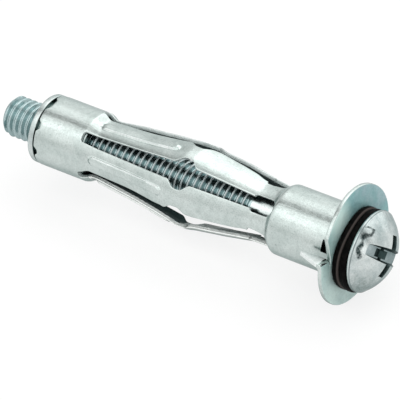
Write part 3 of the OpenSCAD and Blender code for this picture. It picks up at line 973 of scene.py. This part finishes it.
def on_flange_face(c, normal):
    """The flange's front face, round the washers."""
    return c.x > 0.05 and normal.x > 0.8 and math.hypot(c.y, c.z) > 5.2


def on_prong(c, normal):
    """The prongs' flats, outside the collar and behind the flange, painted light as a highlight."""
    return c.x < -0.3 and c.x > -PRONG_LEN - 0.1 and math.hypot(c.y, c.z) > 6.0


def on_far_leg(c, normal):
    """The leg underneath, painted near white as a reflection of the floor."""
    angle = math.degrees(math.atan2(-c.y, c.z)) % 360
    inside = outwards(c, normal) < -0.4
    return -41.0 < c.x < -10.6 and 112 < angle < 176 and not (inside and c.x < -25.5)


def on_cut_edge(c, normal):
    """The sheared edges of the slits, rougher like real sheared metal and painted lighter as a
    highlight.
    """
    return abs(outwards(c, normal)) < 0.6 and SLIT_TAIL - 0.2 < c.x < -10.5


def on_shank(c, normal):
    """The smooth shank, between the thread and the head, painted lighter as a highlight."""
    return c.x > THREAD_HEAD


def in_recess(c, normal):
    """Inside the driver slot and the cross, below the dome, painted darker as shade."""
    depth = DOME_R - Vector((c.x - APEX + DOME_R, c.y, c.z)).length
    return c.x > HEAD_X + 0.6 and depth > 0.14


def on_recess_wall(c, normal):
    """The recess's walls, and the deep floor of its cross, painted near black as shade."""
    return in_recess(c, normal) and (abs(normal.x) < 0.7 or c.x < APEX - 2.4)


def on_rim_line(c, normal):
    """The small step where the head's rim meets its dome, painted dark as shade."""
    return HEAD_X + HEAD_RIM - 0.06 < c.x < HEAD_X + HEAD_RIM + 0.13


def on_crest(c, normal):
    """The crest of the thread, but for its tip, painted lighter as a highlight."""
    return c.x > NUT_TAIL + 1 and math.hypot(c.y, c.z) > THREAD_R - 0.095


sleeve = build_sleeve()
paint(sleeve, sheet_zinc, (inside_shade_zinc, on_inside), (edge_highlight_zinc, on_cut_edge),
      (flange_zinc, on_flange_face), (edge_highlight_zinc, on_prong), (far_leg_reflection_zinc, on_far_leg))
dress(sleeve, sheet_zinc, "anchor", "zinc_sheet", "sleeve")
nut = build_nut()
dress(nut, nut_zinc, "anchor", "zinc_nut", "nut")
back = build_washer("back_ring", SHEET)
dress(back, rubber, "washers", "black_washer", "back_washer")
front = build_washer("front_ring", SHEET + WASHER_T)
dress(front, rubber, "washers", "black_washer", "front_washer")
head = build_head()
rod = build_rod()
paint(head, bar_zinc, (recess_shade_zinc, in_recess), (recess_wall_shade_zinc, on_recess_wall), (rim_crease_shade_zinc, on_rim_line))
dress(head, bar_zinc, "screw", "zinc_screw", "screw")
paint(rod, thread_shade_zinc, (crest_highlight_zinc, on_crest), (shank_highlight_zinc, on_shank))
dress(rod, thread_shade_zinc, "screw", "zinc_screw", "screw")

# ---------------------------------------------------------------- camera
# How far the part's axis tilts towards the camera and rolls in the picture, the turn round X
# that faces it, and where the middle of the flange's front is in the camera's view, in mm
tilt, roll, side = math.radians(27.22), math.radians(21.03), math.radians(SLOT_ANGLE)
axis = Vector((math.cos(tilt) * math.cos(roll), math.cos(tilt) * math.sin(roll), -math.sin(tilt)))
facing = Vector((-math.sin(tilt) * math.cos(roll), -math.sin(tilt) * math.sin(roll), -math.cos(tilt)))
across = Vector((math.sin(roll), -math.cos(roll), 0.0))
up = math.cos(side) * facing + math.sin(side) * across
left = up.cross(axis)
seen = Vector((21.068, 6.162, 610.5))
cam_data = bpy.data.cameras.new("camera")
cam_data.lens = 405
cam_data.sensor_width = 36
cam_data.clip_start = 0.01
cam_data.clip_end = 20
cam = bpy.data.objects.new("camera", cam_data)
bpy.context.scene.collection.objects.link(cam)
place = Vector((SHEET - seen.dot(axis), -seen.dot(left), -seen.dot(up))) * MM
cam.matrix_world = Matrix((
    (axis.x, -axis.y, -axis.z, place.x),
    (left.x, -left.y, -left.z, place.y),
    (up.x, -up.y, -up.z, place.z),
    (0, 0, 0, 1)))
bpy.context.scene.camera = cam

# ---------------------------------------------------------------- floor and light
floor_z = -RIM_R * MM
bpy.ops.mesh.primitive_plane_add(size=6, location=(0, 0, floor_z))
floor = bpy.context.object
floor.name = "floor"
floor_mat, nt, bsdf = new_material("floor")
bsdf.inputs["Base Color"].default_value = (0.9, 0.9, 0.9, 1)
bsdf.inputs["Roughness"].default_value = 0.9
bsdf.inputs["Specular IOR Level"].default_value = 0.0
# The floor glows white to the rays that see it, and the rest of it takes the shadow
FLOOR_GLOW = 0.78
glow = node(nt, "Emission", {"Strength": 1.0})
path = node(nt, "LightPath")
either = number(nt, "MAXIMUM", path.outputs["Is Camera Ray"], path.outputs["Is Glossy Ray"])
any_of = number(nt, "MAXIMUM", either, path.outputs["Is Transmission Ray"])
mixer = node(nt, "MixShader", {"Fac": number(nt, "MULTIPLY", any_of, FLOOR_GLOW),
                               1: bsdf.outputs["BSDF"], 2: glow.outputs["Emission"]})
link(nt, mixer.outputs["Shader"], nt.nodes["Material Output"].inputs["Surface"])
floor.data.materials.append(floor_mat)

# World: a white studio with darker gaps between its soft boxes, by the angle round X in
# degrees from the camera's side, and by how far a direction leans along X
STOPS = [(-180, 0.9), (-120, 0.55), (-60, 0.75), (-30, 1.0), (-14, 1.28), (6, 1.3), (30, 1.34),
         (37, 1.05), (41, 0.38), (47, 0.52), (56, 1.0), (66, 1.34), (82, 1.4), (96, 1.12),
         (120, 1.16), (160, 0.95), (180, 0.9)]
ALONG = [(-1.0, 0.6), (-0.72, 0.6), (-0.46, 1.0), (-0.2, 1.6), (0.1, 1.4), (0.5, 1.3),
         (0.7, 1.0), (0.95, 0.8)]
world = bpy.data.worlds.new("studio")
bpy.context.scene.world = world
world.use_nodes = True
nt = world.node_tree
nt.nodes.clear()
sky = node(nt, "TexCoord").outputs["Generated"]


def dot(direction):
    """How far the seen direction leans along another."""
    return vector(nt, "DOT_PRODUCT", sky, direction, result="Value")


# facing direction and the direction across it, in the frame, both square to X
toward = (0.0, -math.sin(side), math.cos(side))
over_top = (0.0, math.cos(side), math.sin(side))
angle = number(nt, "ARCTAN2", dot(over_top), dot(toward))
turn = map_range(nt, angle, -math.pi, math.pi)
studio = ramp(nt, turn, [((deg + 180) / 360, (v, v * 1.005, v)) for deg, v in STOPS])
along = map_range(nt, dot((1.0, 0.0, 0.0)), -1, 1)
ends = ramp(nt, along, [((x + 1) / 2, (v, v, v)) for x, v in ALONG])
above = map_range(nt, turn, 185 / 360, 225 / 360)
backdrop = node(nt, "Background", {"Color": mix(nt, above, studio, ends, "MULTIPLY"),
                                   "Strength": 1.0})
node(nt, "OutputWorld", {"Surface": backdrop.outputs["Background"]})


def lamp(name, where, size, power):
    """A soft box that looks at the middle of the part."""
    data = bpy.data.lights.new(name, "AREA")
    data.shape = "RECTANGLE"
    data.size, data.size_y = size
    data.energy = power
    obj = bpy.data.objects.new(name, data)
    bpy.context.scene.collection.objects.link(obj)
    obj.location = where
    aim = Vector((-0.025, 0, 0)) - Vector(where)
    obj.rotation_mode = "QUATERNION"
    obj.rotation_quaternion = aim.to_track_quat("-Z", "Y")


lamp("key", (-0.36, -0.46, 0.66), (0.4, 0.28), 0.16)

bpy.context.scene.view_settings.view_transform = "Standard"
